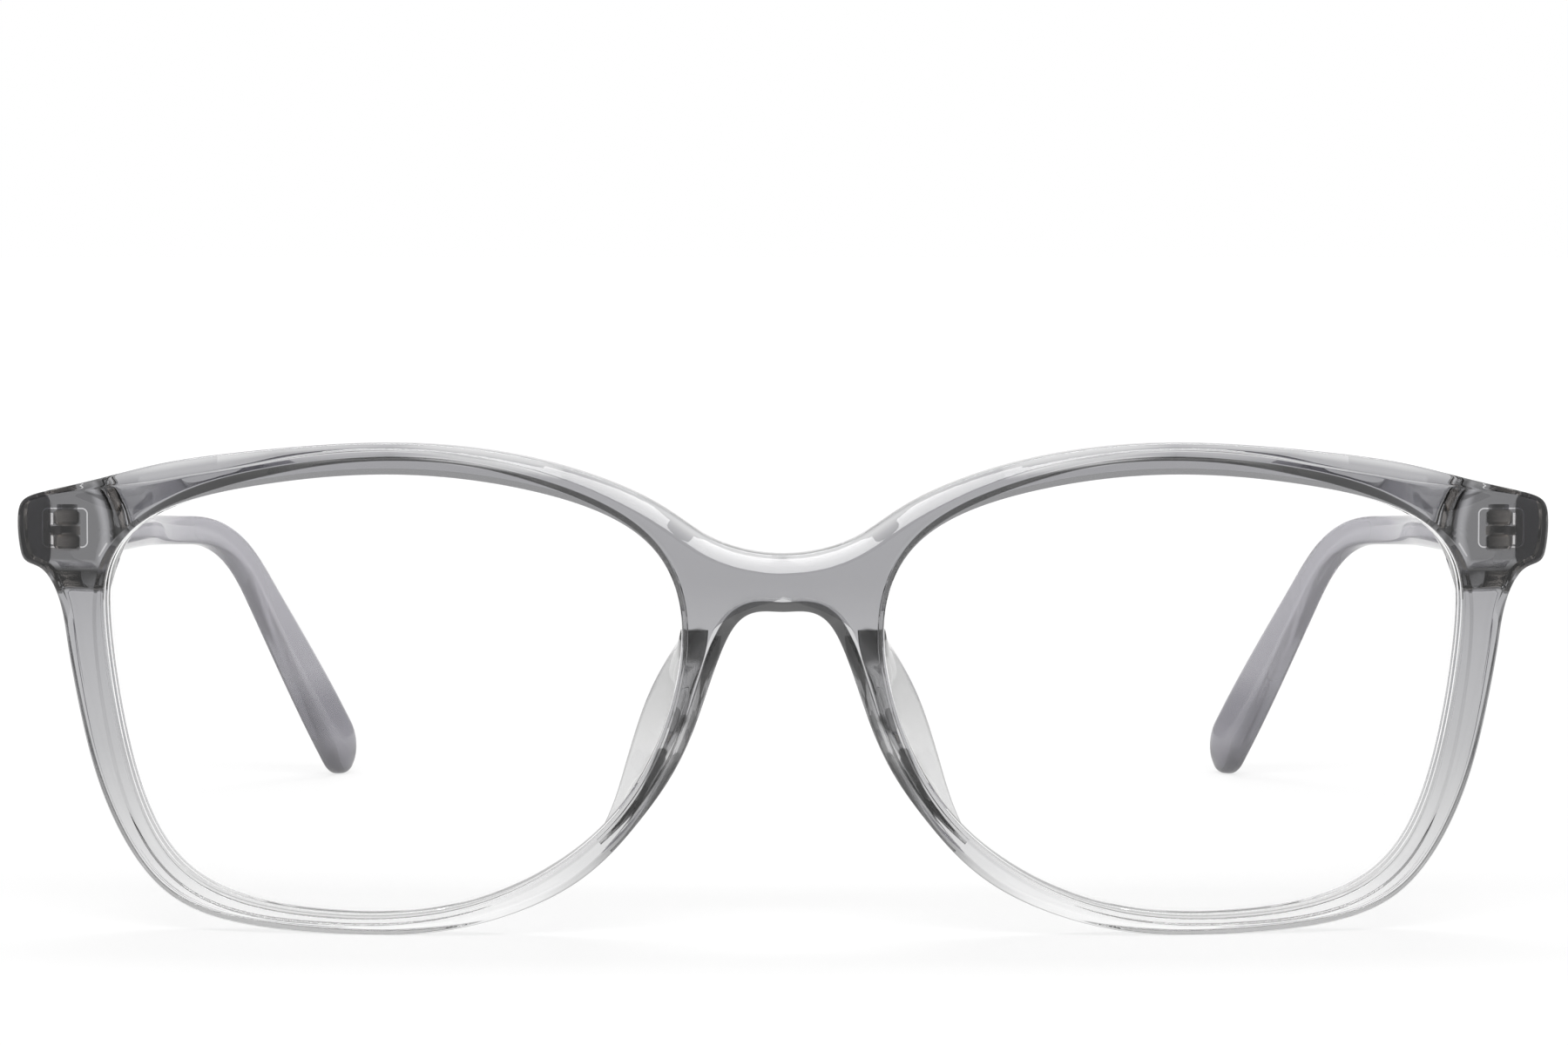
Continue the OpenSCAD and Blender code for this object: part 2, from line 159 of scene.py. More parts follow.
outlineRows = [
    (7.05, (0, bridgeZ - bridgeHeight)),
    (7.45, (noseX - 0.268 * front["bridgeWidth"], bridgeZ - 1.288 * bridgeHeight)),
    (7.95, 1.07 * rimNose), (8.7, 0.89 * rimNose), (9.4, 0.97 * rimNose),
    (10.2, blend(rimNose, rimBottom, 0.8)), (11, 0.97 * rimBottom),
    (11.8, blend(rimBottom, rimSide, 0.33)), (12.4, blend(rimBottom, rimSide, 0.64)),
    (13, blend(rimBottom, rimSide, 0.83)), (13.5, rimSide), (13.95, 1.08 * rimSide),
    onEnd(14.25, 0.532, 1.659), onEnd(14.47, 0.442, 1.288), onEnd(14.69, 0.282, 1.008),
    onEnd(14.86, 0.096, 0.902), onEnd(14.97, 0.026, 0.697), onEnd(15.09, 0.005, 0.439),
    onEnd(15.2, 0.032, 0.144), onEnd(15.31, 0.192, -0.005), onEnd(15.46, 0.5, -0.103),
    onEnd(15.7, 0.949, -0.239),
    (16.1, 1.32 * rimTop), (16.75, 1.06 * rimTop), (17.9, 0.94 * rimTop), (19, 0.94 * rimTop),
    (19.9, 1.02 * rimTop),
    (20.45, (noseX - 0.156 * front["bridgeWidth"], bridgeZ + 0.269 * bridgeHeight)),
    (20.8, (0, bridgeZ)),
]
rowLens = np.array([row[0] for row in outlineRows])
rowPoints = np.array([
    row[1] if isinstance(row[1], tuple) else beyond(row[0], row[1]) for row in outlineRows
])
lastRow = len(outlineRows) - 1
outline = curveCorners(np.vstack([rowPoints, (rowPoints * (-1, 1))[lastRow - 1:0:-1]]))


def lensPlace(s):
    i = np.minimum(np.floor(s).astype(int), lastRow - 1)
    return blend(rowLens[i], rowLens[i + 1], s - i)


tilt = math.radians(front["tilt"])
hingeSlope = math.radians(hinge["slope"])


def bow(u, v):
    return u * u / (2 * front["wrapRadius"]) + (v - lensZ) ** 2 / (2 * front["riseRadius"])


def onFront(u, v, w):
    # from the front's plane to the part's frame: bowed back at its edges, then leaned forward
    deep = bow(u, v) + w
    x = u - np.minimum(w, halfDepth) * u / front["wrapRadius"]
    y = deep * math.cos(tilt) - v * math.sin(tilt)
    z = deep * math.sin(tilt) + v * math.cos(tilt) - w * (v - lensZ) / front["riseRadius"]
    return np.stack([x, y, z], -1) + front["place"]


# the plane that a temple's end meets, as a depth behind the front
place = front["place"]
seatY = (
    (hinge["y"] - place[1]) * math.cos(hingeSlope)
    - (hinge["z"] - place[2]) * math.sin(hingeSlope) - hinge["seat"]
)


def blockRise(u, v):
    # across and up: 1 where the block behind the end piece is full, 0 where it begins
    endH = front["endHeight"]
    bulge = front["blockBulge"] * ((v - endZ) / endH + front["blockBend"]) ** 2
    width = front["blockWidth"]
    across = (u - endX + width - bulge) / (front["blockSide"] * width) + 1
    return across, (v - endZ + front["blockDrop"] * endH) / (front["blockFoot"] * endH)


def blockShare(u, v):
    across, up = blockRise(u, v)
    return smoothStep(across) * smoothStep(up)


def backDepth(u, v):
    a = tilt + hingeSlope
    seat = (seatY + v * math.sin(a)) / math.cos(a) - bow(u, v)
    return blend(halfDepth, seat, blockShare(u, v))


# helpers: meshes
def ringFaces(rows, cols):
    # quads between neighbouring points of rings, numbered ring by ring
    r, c = np.meshgrid(np.arange(rows - 1), np.arange(cols), indexing="ij")
    r, r2, c2 = r * cols, (r + 1) * cols, (c + 1) % cols
    return np.stack([r + c, r2 + c, r2 + c2, r + c2], -1).reshape(-1, 4)


def flatEnds(rows, cols):
    # rings closed by one face at each end
    first, last = range(cols), range(rows * cols - 1, (rows - 1) * cols - 1, -1)
    return ringFaces(rows, cols).tolist() + [list(first), list(last)]


def poleEnds(rows, cols):
    # rings closed at each end by a fan round a pole, whose point follows the rings' points
    k, last = np.arange(cols), (rows - 1) * cols
    pole, after = np.full(cols, rows * cols), (k + 1) % cols
    fans = np.concatenate([
        np.stack([pole, k, after], -1), np.stack([pole + 1, last + after, last + k], -1),
    ])
    return ringFaces(rows, cols).tolist() + fans.tolist()


def makeMesh(name, points, faces, mirror=False, weld=0.0, fadeAndPaintedLight=None, sharp=32):
    # a closed mesh with its faces outward; mirror makes the +X piece into the -X one, and the
    # fade, stored on the points, says how far each point's tint fades to clear, for thin plastic
    # and for painted highlights, or below 0 deepens, for painted shade. Edges turn sharp past
    # an angle in degrees
    points = np.asarray(points, float).reshape(-1, 3) * mm
    if mirror:
        points = points * (-1, 1, 1)
    mesh = bpy.data.meshes.new(name)
    mesh.from_pydata(points.tolist(), [], [list(f) for f in faces])
    if fadeAndPaintedLight is not None:
        layer = mesh.attributes.new("fadeAndPaintedLight", "FLOAT", "POINT")
        layer.data.foreach_set("value", fadeAndPaintedLight.astype(np.float32))
    work = bmesh.new()
    work.from_mesh(mesh)
    if weld:
        bmesh.ops.remove_doubles(work, verts=work.verts, dist=weld * mm)
    bmesh.ops.recalc_face_normals(work, faces=work.faces)
    if work.calc_volume(signed=True) < 0:
        bmesh.ops.reverse_faces(work, faces=work.faces)
    openEdges = sum(1 for e in work.edges if not e.is_manifold)
    work.to_mesh(mesh)
    work.free()
    if openEdges:
        print("open edges in", name, openEdges)
    mesh.polygons.foreach_set("use_smooth", np.ones(len(mesh.polygons), bool))
    mesh.set_sharp_from_angle(angle=math.radians(sharp))
    piece = bpy.data.objects.new(name, mesh)
    bpy.context.scene.collection.objects.link(piece)
    return piece


def roundedChain(corners, radii, arcSteps, spans, leads={}, closed=True, most=0.46):
    # a chain of corners in each row. Each corner becomes a short quadratic curve that starts
    # and ends at its radius along the two sides, or along the leads given for it, but takes at
    # most a share of a side. Each side between two curves is cut into its spans
    n = corners.shape[1]
    q = np.linspace(0, 1, arcSteps + 1)[None, :, None]
    arcs = []
    for k in range(n):
        c = corners[:, k]
        if not closed and k in (0, n - 1):
            arcs.append(c[:, None])
            continue
        sides = []
        for near, lead in zip((k - 1, (k + 1) % n), leads.get(k, (None, None))):
            side = corners[:, near] - c
            size = np.linalg.norm(side, axis=-1, keepdims=True)
            heading = side / size if lead is None else lead
            sides.append(c + heading * np.minimum(radii[k], most * size))
        begin, end = sides[0][:, None], sides[1][:, None]
        arcs.append((1 - q) ** 2 * begin + 2 * q * (1 - q) * c[:, None] + q * q * end)
    chain = []
    for k in range(n):
        chain.append(arcs[k])
        if closed or k < n - 1:
            f = (np.arange(1, spans[k]) / spans[k])[None, :, None]
            chain.append(blend(arcs[k][:, -1:], arcs[(k + 1) % n][:, :1], f))
    return np.concatenate(chain, 1)


# the front
# Widths and depths of the front's long edges, as (row on the outline, millimetres). A fine
# step, "line", runs along the inside of the outer bevel, and a wide one, "step", follows the
# lens, as (place on the lens, millimetres). The other tables and the block's shares say how
# far the tint clears or darkens there, "deep" and "glint" quickly. "pale" clears the top
# outline where the plastic is thin and also paints a highlight on the bevel there; the block
# darkens; the rest paints shade along the bevel under the bridge, the nose, the outer wall,
# the step's wall and the block's slopes, and paints highlights where "glint", parts of
# "deep" and the line round the block's rim clear the tint
edges = {
    "outerWidth": [
        (0, 1.05), (0.6, 1.15), (1.1, 1.2), (1.6, 1.0), (2.5, 1.0), (4, 0.8), (6, 0.86), (8, 0.9),
        (9, 1.2), (10.5, 0.95), (12, 1.05), (13.5, 0.5), (15, 0.4), (20, 0.4), (21, 0.7),
        (22, 1.45), (23, 1.35), (23.6, 0.6), (24.2, 0.6), (25, 0.85), (26, 1.5), (28, 1.65),
    ],
    "outerDepth": [
        (0, 1.6), (2.5, 1.6), (4, 0.8), (5, 0.1), (6.8, 0.1), (7.5, 0.25), (11, 0.35), (13, 0.5),
        (15, 0.4), (20, 0.5), (21, 0.6), (22, 0.75), (23, 0.7), (23.6, 0.4), (24.2, 0.4),
        (25, 0.5), (26, 0.8), (28, 0.85),
    ],
    "outerRound": [
        (0, 0.15), (4, 0.2), (6, 0.3), (12, 0.3), (14, 0.15), (20, 0.15), (22, 0.3), (25, 0.3),
        (28, 0.5),
    ],
    "lineDepth": [(0, 0.0), (20.4, 0.0), (21.2, 0.14), (23.8, 0.14), (25, 0.0), (28, 0.0)],
    "lineWidth": [(0, 0.3), (1.1, 0.3), (1.4, 0.12), (28, 0.12)],
    "backRound": [(0, 0.6), (4, 0.5), (6, 0.18), (9, 0.22), (12, 0.6), (28, 0.6)],
    # a painted highlight on the top bevel, and the clearer tint of its thin plastic
    "pale": [(0, 0.0), (19.8, 0.0), (20.6, 0.5), (21.3, 0.9), (25.5, 0.9), (27, 1.0), (28, 1.0)],
    # painted shade under the bridge and along the nose's bevel, with a painted highlight on the
    # nose's bevel where it falls below 0
    "deep": [
        (0, 0.97), (1.35, 0.97), (1.5, -0.3), (1.9, -0.3), (2.0, -0.9), (2.3, -0.9), (2.4, 0.45),
        (3.2, 0.45), (4, 0.1), (5, 0.0), (28, 0.0),
    ],
    # painted shade along the outline's edge round the bottom, the temple side and the top
    "rimShade": [(0, 0.0), (9.5, 0.0), (11, 0.7), (20, 0.6), (21, 0.2), (22, 0.0), (28, 0.0)],
    # painted highlights along the line over the bevel under the bridge and on the nose's bevel
    "glint": [
        (0, 0.95), (1.4, 0.95), (1.6, 0.0), (1.9, 0.0), (2.0, 0.95), (2.3, 0.95), (2.4, 0.0),
        (28, 0.0),
    ],
    # the block darkens; painted shade over its slopes and a painted highlight line round its rim
    "quick": 0.08, "blockDeep": 0.85, "slopeShadeGain": 7.0,
    "blockGlint": 0.75, "glintAt": 1.25, "glintHalf": 0.25,
    "stepWidth": [
        (0, 0.85), (0.8, 0.5), (1.85, 0.3), (2.5, 1.1), (3.1, 1.37), (3.8, 1.55), (4.4, 1.65),
        (5.2, 1.05), (6, 0.6), (6.8, 0.35), (8, 0.45), (11, 0.5), (12, 0.95), (13, 1.05),
        (14, 0.85),
    ],
    "stepWall": [
        (0, 0.25), (0.8, 0.5), (1.5, 1.0), (2.1, 0.9), (2.8, 0.55), (3.5, 0.24), (4.8, 0.24),
        (5.5, 0.6), (6.2, 0.95), (7, 0.9), (8, 0.4), (12, 0.2), (14, 0.25),
    ],
    "stepDepth": [
        (0, 0.2), (1.2, 0.3), (1.9, 0.5), (2.7, 0.75), (5.0, 0.6), (6.2, 0.8), (7.5, 0.4),
        (9, 0.15), (11, 0.1), (12.5, 0.2), (14, 0.2),
    ],
    # painted shade along the step's wall
    "stepShade": [
        (0, 0.25), (1.5, 0.5), (2.0, 1.0), (5, 1.0), (6.5, 0.97), (7.0, 0.6), (7.8, 0.1),
        (11, 0.0), (13, 0.15), (14, 0.25),
    ],
    "stepFall": 0.12, "stepSet": 0.06, "stepRound": 0.08, "grooveRound": 0.05,
    "softness": 0.3, "roundMost": 0.6, "backFrom": 0.9, "bridgeSteps": 8,
    "spans": (26, 1, 1, 1, 1, 1, 2, 1, 10, 1, 4, 2),
}


def along(table, s, period=None, reach=0.3, samples=9):
    # the mean, round s, of the straight lines between the table's (place, value) pairs
    places, values = np.array(table).T
    near = np.linspace(-reach, reach, samples)
    return np.mean([np.interp(s + d, places, values, period=period) for d in near], 0)


def onLens(name, t):
    return along(edges[name], np.mod(t, lensTurn), lensTurn)


def deepPoints(flat, w):
    # points of the front's plane with their depth
    w = np.broadcast_to(w, flat.shape[:1])
    return np.concatenate([flat, w[:, None]], 1)


def innerCorners(t):
    # the lens side of a section: back edge, groove, and the step in the front face, which is
    # a crescent over the lens. Its wall takes a share of its width
    i, n = opening(t), intoRim(t)
    width, depth = onLens("stepWidth", t)[:, None], onLens("stepDepth", t)
    wall = width * onLens("stepWall", t)[:, None]
    grooveW = front["lensThickness"] / 2 + front["lensGap"]
    groove = i + (front["lensBevel"] + front["lensGap"]) * n
    flat = front["edgeFlat"] * grooveW
    return [
        deepPoints(i, halfDepth), deepPoints(i, grooveW), deepPoints(groove, flat),
        deepPoints(groove, -flat), deepPoints(i, -grooveW),
        deepPoints(i, depth + edges["stepFall"] - halfDepth),
        deepPoints(i + (width - wall + edges["stepSet"]) * n, depth - halfDepth),
        deepPoints(i + (width + edges["stepSet"]) * n, -halfDepth),
    ]


def frontSide():
    # closed sections all round the lens, and open ones across the middle of the bridge. The
    # corners of a section are its outer edge at the back, the lens side from 1 to 8, the fine
    # line's inner end, the bevel's inner edge and its outer edge
    arc, spans = front["arcSteps"], edges["spans"]
    s = np.concatenate([k + np.arange(n) / n for k, n in enumerate(rowSteps)] + [[lastRow]])
    o, m = onCurve(outline, s), outward(outline, s)
    width, depth = along(edges["outerWidth"], s), along(edges["outerDepth"], s)
    line, band = along(edges["lineDepth"], s), along(edges["lineWidth"], s)
    outer = [
        deepPoints(o - (width + band)[:, None] * m, line - halfDepth),
        deepPoints(o - width[:, None] * m, -halfDepth), deepPoints(o, depth - halfDepth),
    ]
    corners = np.stack([deepPoints(o, halfDepth)] + innerCorners(lensPlace(s)) + outer, 1)
    soft, lip, stepLip = edges["softness"], edges["grooveRound"], edges["stepRound"]
    back, bevel = (along(edges[k], s)[:, None] for k in ("backRound", "outerRound"))
    radii = [
        back, edges["roundMost"], lip, lip, lip, lip, soft / 2, stepLip, stepLip, lip, bevel,
        soft / 2 + bevel / 2,
    ]
    level = np.zeros((len(s), 1))
    inward, toRim = np.hstack([-m, level]), np.hstack([intoRim(lensPlace(s)), level])
    leads = {0: (None, inward), 1: (toRim, None), 8: (None, toRim), 9: (inward, None)}
    rings = roundedChain(corners, radii, arc, spans, leads)
    starts = np.cumsum([0] + [arc + n for n in spans])
    first, last = arc, starts[9]
    ends = rings[[-1, 0]][:, [first, last]]
    f = np.arange(1, edges["bridgeSteps"]) / edges["bridgeSteps"]
    t = blend(rowLens[-1], rowLens[0] + lensTurn, f)
    edge = blend(ends[0], ends[1], f[:, None, None])
    middle = np.stack([edge[:, 0]] + innerCorners(t) + [edge[:, 1]], 1)
    toRim = np.hstack([intoRim(t), np.zeros((len(t), 1))])
    leads = {1: (toRim, None), 8: (None, toRim)}
    across = roundedChain(middle, [0] + radii[1:9] + [0], arc, spans[:9], leads, closed=False)
    # the tint fades towards the outline, where the plastic is thin, also painting a highlight on
    # the top bevel; it deepens with painted shade along the step's wall, the bevel under the
    # bridge, the nose and the outer wall, and clears in painted highlights along the line over
    # the bevel under the bridge and on the nose's bevel
    inside = ((o[:, None] - rings[..., :2]) * m[:, None]).sum(-1)
    fadeAndPaintedLight = along(edges["pale"], s)[:, None] * smoothStep(1 - inside / (width + band)[:, None])
    quick = edges["quick"]
    fadeAndPaintedLight[:, starts[10] + 2:starts[11] + 3] -= along(edges["deep"], s, reach=quick)[:, None]
    fadeAndPaintedLight[:, starts[9]:starts[10] + 2] += along(edges["glint"], s, reach=quick)[:, None]
    fadeAndPaintedLight[:, starts[11] + 1:] -= along(edges["rimShade"], s)[:, None]
    # behind, it darkens over the block, paints shade over its slopes and paints a highlight, a
    # clear line, round the block's rim
    behind = rings[..., 2] > edges["backFrom"]
    rise = np.minimum(*blockRise(rings[..., 0], rings[..., 1]))
    block = smoothStep(rise)
    slope = np.minimum(1, edges["slopeShadeGain"] * block * (1 - block))
    offRim = np.abs(rise - edges["glintAt"]) / edges["glintHalf"]
    rimHighlight = edges["blockGlint"] * np.maximum(0, 1 - offRim)
    fadeAndPaintedLight += behind * (rimHighlight - edges["blockDeep"] * block - slope)
    wallSide = slice(starts[7] + 2, starts[8] + 3)
    fadeAndPaintedLight[:, wallSide] -= onLens("stepShade", lensPlace(s))[:, None]
    fadeAcross = np.zeros(across.shape[:2])
    fadeAcross[:, wallSide.start - first:wallSide.stop - first] -= onLens("stepShade", t)[:, None]
    return rings, across, first, last, np.concatenate([fadeAndPaintedLight.ravel(), fadeAcross.ravel()])


def toPart(p):
    # the back face follows the block; what lies in front of it is stretched with it
    u, v, w = p[..., 0], p[..., 1], p[..., 2]
    start = edges["backFrom"]
    share = np.clip((w - start) / (halfDepth - edges["roundMost"] - start), 0, 1)
    return onFront(u, v, w + share * (backDepth(u, v) - halfDepth))


def makeFront():
    rings, across, first, last, fadeAndPaintedLight = frontSide()
    rows, cols = rings.shape[:2]
    points = np.concatenate([toPart(rings).reshape(-1, 3), toPart(across).reshape(-1, 3)])
    faces = ringFaces(rows, cols)
    chain = last - first + 1
    start = rows * cols
    links = np.concatenate([
        [(rows - 1) * cols + np.arange(first, last + 1)],
        start + np.arange(across.shape[0] * chain).reshape(-1, chain),
        [np.arange(first, last + 1)],
    ])
    quads = np.stack([links[:-1, :-1], links[1:, :-1], links[1:, 1:], links[:-1, 1:]], -1)
    faces = np.concatenate([faces, quads.reshape(-1, 4)])
    both = np.concatenate([points, points * (-1, 1, 1)])
    faces = np.concatenate([faces, faces[:, ::-1] + len(points)])
    return makeMesh("frontRims", both, faces, weld=0.002, fadeAndPaintedLight=np.tile(fadeAndPaintedLight, 2))


# lenses, nose pads
lens = {"turnSteps": 440, "rings": 14, "edgeRing": 0.985}
# "foot" is a share of the rim's nose width. The tint darkens by "deep" along the foot, over its
# share of the reach, as painted shade near the top and below the middle, and clears there as a
# painted highlight where that falls below 0; round the free edge it darkens by its own amount,
# a painted dark outline
pad = {
    "from": 7.12, "to": 9.05, "foot": 0.46, "depth": 5.8, "spread": 3.0, "footThickness": 1.9,
    "thickness": 1.3, "endThickness": 0.7, "endReach": 0.15, "crest": 0.85,
    "outShape": 0.8, "sideShape": 0.55, "flare": 1.5, "flareLength": 0.3,
    "taper": 0.8, "taperFrom": 0.68, "set": -0.04, "rows": 96, "points": 40,
    "deep": [
        (0, 1), (0.13, 1), (0.17, 0), (0.4, 0), (0.46, -1), (0.56, -1), (0.6, 0.4), (0.75, 0.4),
        (0.9, 0), (1, 0),
    ],
    "deepReach": 0.3, "rimShade": 0.6, "rimFrom": 0.92, "rimOver": 0.06,
}


def makeLens(name, mirror):
    # rings out from the middle of the back face, over the bevelled edge, and in on the front
    t = np.linspace(0, lensTurn, lens["turnSteps"], endpoint=False)
    half = front["lensThickness"] / 2
    out = np.append(np.linspace(0, 1, lens["rings"] + 1)[1:-1], (lens["edgeRing"], 1))
    flat = front["edgeFlat"] * half
    profile = [(q, -front["lensGap"] * q, half) for q in out]
    profile += [(1, front["lensBevel"], flat), (1, front["lensBevel"], -flat)]
    profile += [(q, -front["lensGap"] * q, -half) for q in out[::-1]]
    centre = np.array((lensX, lensZ))
    rings = []
    for share, grow, w in profile:
        p = blend(centre, beyond(t, np.full(t.shape, grow)), share)
        rings.append(onFront(p[:, 0], p[:, 1], np.full(t.shape, w)))
    poles = [onFront(*centre[:, None], np.array([w])) for w in (half, -half)]
    return makeMesh(name, np.concatenate(rings + poles), poleEnds(len(rings), len(t)), mirror)


def makePad(name, mirror):
    # a rounded fin along the rim's nose side: each row is a flat oval that stands on its foot
    f = np.linspace(0, 1, pad["rows"])
    t = blend(pad["from"], pad["to"], f)
    tall = blend(pad["endReach"], 1, np.sin(np.pi * f ** pad["crest"]))
    foot, n = beyond(t, np.full(t.shape, pad["foot"] * rimNose)), intoRim(t)
    reach = math.hypot(pad["spread"], pad["depth"])
    dirOut, dirBack = -pad["spread"] / reach, pad["depth"] / reach
    q = np.linspace(0, 2 * np.pi, pad["points"], endpoint=False)
    outShare = 0.5 - 0.5 * squared(np.cos(q), pad["outShape"])
    sideShare = 0.5 * squared(np.sin(q), pad["sideShape"])
    rise = tall[:, None] * outShare * reach
    thick = blend(pad["endThickness"], 1, np.sin(np.pi * f))[:, None]
    thick = thick * blend(pad["footThickness"], pad["thickness"], outShare)
    upper = 1 - smoothStep(f / pad["flareLength"])
    thick = thick * (1 + pad["flare"] * (1 - outShare) * upper[:, None])
    lower = smoothStep((f - pad["taperFrom"]) / (1 - pad["taperFrom"]))
    thick = thick * (1 - pad["taper"] * lower)[:, None]
    side = thick * sideShare
    d = rise * dirOut + side * blend(1, dirBack, outShare)
    w = rise * dirBack - side * dirOut * outShare
    flat = foot[:, None] + d[..., None] * n[:, None]
    points = onFront(flat[..., 0], flat[..., 1], halfDepth + pad["set"] + w)
    poles = [points[0].mean(0), points[-1].mean(0)]
    # painted shade and a painted highlight along the foot, and a painted dark outline round the free
    # edge
    deep = np.interp(f, *np.array(pad["deep"]).T)[:, None]
    deep = deep * (1 - smoothStep(outShare / pad["deepReach"]))
    deep = deep + pad["rimShade"] * smoothStep((outShare - pad["rimFrom"]) / pad["rimOver"])
    fadeAndPaintedLight = -np.append(deep.ravel(), (0, 0))
    faces = poleEnds(*points.shape[:2])
    points = np.concatenate([points.reshape(-1, 3), poles])
    return makeMesh(name, points, faces, mirror, fadeAndPaintedLight=fadeAndPaintedLight)


def atHinge(points):
    # from the hinge's own axes, with the screw along Z, to the part's frame
    c, d = math.cos(hingeSlope), math.sin(hingeSlope)
    turned = points @ np.array([(1, 0, 0), (0, c, -d), (0, d, c)])
    return turned + (hinge["x"], hinge["y"], hinge["z"])


# The temples. "shaft" is how far their middle stands off the screw, in barrel radii and half a
# thickness, and "buttRows" are the rounded butt's rings, as (share of the section, inset)
temple = {
    "length": 140.0, "height": 6.3, "bendHeight": 3.1, "thickness": 2.4, "tipWidth": 7.2,
    "dropStart": 95.0, "dropLength": 18.0, "dropAngle": 47.0, "turnFrom": 0.8, "turnIn": 27.5,
    "turnLength": 30.0, "buttGap": 0.2, "twist": 0.6, "buttSquare": 0.3, "tipSquare": 0.62,
    "shaft": 1.25, "growFrom": 0.222, "growLess": 1 / 3, "squareRate": 3.0,
    "capLeast": 0.0004, "capShape": 0.5, "buttRows": ((0.9, 0), (0.97, 0.06), (1, 0.25)),
    "points": 64, "pathSteps": 220, "capSteps": 14,
}


def templeHeading(s):
    turnStart = temple["turnFrom"] * temple["dropStart"]
    turn = math.radians(temple["turnIn"]) * smoothStep((s - turnStart) / temple["turnLength"])
    drop = math.radians(temple["dropAngle"])
    drop = drop * smoothStep((s - temple["dropStart"]) / temple["dropLength"])
    ahead = np.stack([-np.sin(turn) * np.cos(drop), np.cos(turn) * np.cos(drop), -np.sin(drop)], -1)
    return ahead, turn


def makeTemple(name, mirror):
    # a rounded section carried along a path that runs straight and then turns down and in;
    # the path is the running sum of its headings
    tipR = temple["tipWidth"] / 2
    pathL = temple["length"] - tipR
    n = temple["pathSteps"]
    step = pathL / n
    shaft = temple["shaft"] * hinge["barrelRadius"] + temple["thickness"] / 2
    ahead, turn = templeHeading((np.arange(n) + 0.5) * step)
    path = np.vstack([(shaft, 0, 0), (shaft, 0, 0) + np.cumsum(ahead * step, 0)])
    cap = pathL + tipR * np.sin(np.linspace(0, np.pi / 2, temple["capSteps"] + 1)[1:])
    s = np.concatenate([np.arange(n + 1) * step, cap])
    base = np.minimum(s, pathL)
    ahead, turn = templeHeading(base)
    middle = path[np.minimum(np.arange(len(s)), n)] + np.maximum(0, s - pathL)[:, None] * ahead
    twist = temple["twist"] * turn
    flat = np.stack([np.cos(twist), np.sin(twist), 0 * twist], -1)
    side = unitRows(flat - (flat * ahead).sum(-1, keepdims=True) * ahead)
    up = np.cross(side, ahead)
    share = np.sqrt(np.maximum(temple["capLeast"], 1 - (np.maximum(0, s - pathL) / tipR) ** 2))
    dropL = temple["dropLength"]
    growing = base - temple["dropStart"] - temple["growFrom"] * dropL
    growing = growing / (pathL - temple["dropStart"] - temple["growLess"] * dropL)
    height = np.where(
        base < temple["dropStart"],
        blend(temple["height"], temple["bendHeight"], smoothStep(base / temple["dropStart"])),
        blend(temple["bendHeight"], temple["tipWidth"], smoothStep(growing)),
    )
    a, b = temple["thickness"] / 2 * share ** temple["capShape"], height / 2 * share
    q = np.linspace(0, 2 * np.pi, temple["points"], endpoint=False)
    square = smoothStep(temple["squareRate"] * base / temple["length"])
    square = blend(temple["buttSquare"], temple["tipSquare"], square)[:, None]
    sideQ, upQ = squared(np.sin(q), square), squared(np.cos(q), square)
    rings = middle[:, None] + (a[:, None] * sideQ)[..., None] * side[:, None]
    rings = rings + (b[:, None] * upQ)[..., None] * up[:, None]
    butt = hinge["seat"] - temple["buttGap"]
    start = []
    for shrink, inset in temple["buttRows"]:
        start.append(middle[0] + (rings[0] - middle[0]) * shrink - (0, butt - inset, 0))
    rings = atHinge(np.concatenate([np.array(start), rings]))
    return makeMesh(name, rings, flatEnds(*rings.shape[:2]), mirror)


# the front's hinge: two barrels on blocks let into the end piece, joined by a narrow web
barrels = {
    "back": 1.2, "front": 3.28, "inner": 0.45, "outer": 1.75, "edge": 0.22,
    "webWidth": 1.0, "webSet": 0.7, "points": 64, "square": 0.2,
}


def makeBarrels(name, mirror):
    # loops stacked along the screw: half circles behind it, squared ovals before it
    q = np.linspace(0, 2 * np.pi, barrels["points"], endpoint=False)
    c, d = np.cos(q), np.sin(q)
    square = barrels["square"]
    x = np.where(d >= 0, c, squared(c, square)) * barrels["back"]
    y = np.where(d >= 0, barrels["back"] * d, barrels["front"] * squared(d, square))
    block = np.stack([x, y], -1)
    middle = np.array((0, (barrels["back"] - barrels["front"]) / 2))
    reach = np.array((barrels["back"], (barrels["back"] + barrels["front"]) / 2))
    webFront, webBack = barrels["webSet"] - barrels["front"], -hinge["seat"]
    web = np.stack([
        squared(c, square) * barrels["webWidth"] / 2,
        blend(webFront, webBack, 0.5 + 0.5 * squared(d, square)),
    ], -1)
    low, high, edge = barrels["inner"], barrels["outer"], barrels["edge"]
    shrunk = middle + (block - middle) * (1 - edge / reach)
    half = [(low, web), (low, shrunk), (low + edge, block), (high - edge, block), (high, shrunk)]
    loops = [(-h, loop) for h, loop in half[::-1]] + half
    rings = np.array([np.column_stack([loop, np.full(len(loop), h)]) for h, loop in loops])
    return makeMesh(name, atHinge(rings), flatEnds(*rings.shape[:2]), mirror)


# materials
def newMaterial(name):
    material = bpy.data.materials.new(name)
    material.use_nodes = True
    return material, material.node_tree, material.node_tree.nodes["Principled BSDF"]


def feed(tree, socket, value):
    # another node's output is linked to the socket, and a number or colour is set on it
    if isinstance(value, bpy.types.NodeSocket):
        tree.links.new(value, socket)
    else:
        socket.default_value = value


def addNode(tree, kind, inputs={}, **settings):
    # inputs go by the names or places of the node's sockets
    node = tree.nodes.new(kind)
    for key, value in settings.items():
        setattr(node, key, value)
    for key, value in inputs.items():
        feed(tree, node.inputs[key], value)
    return node


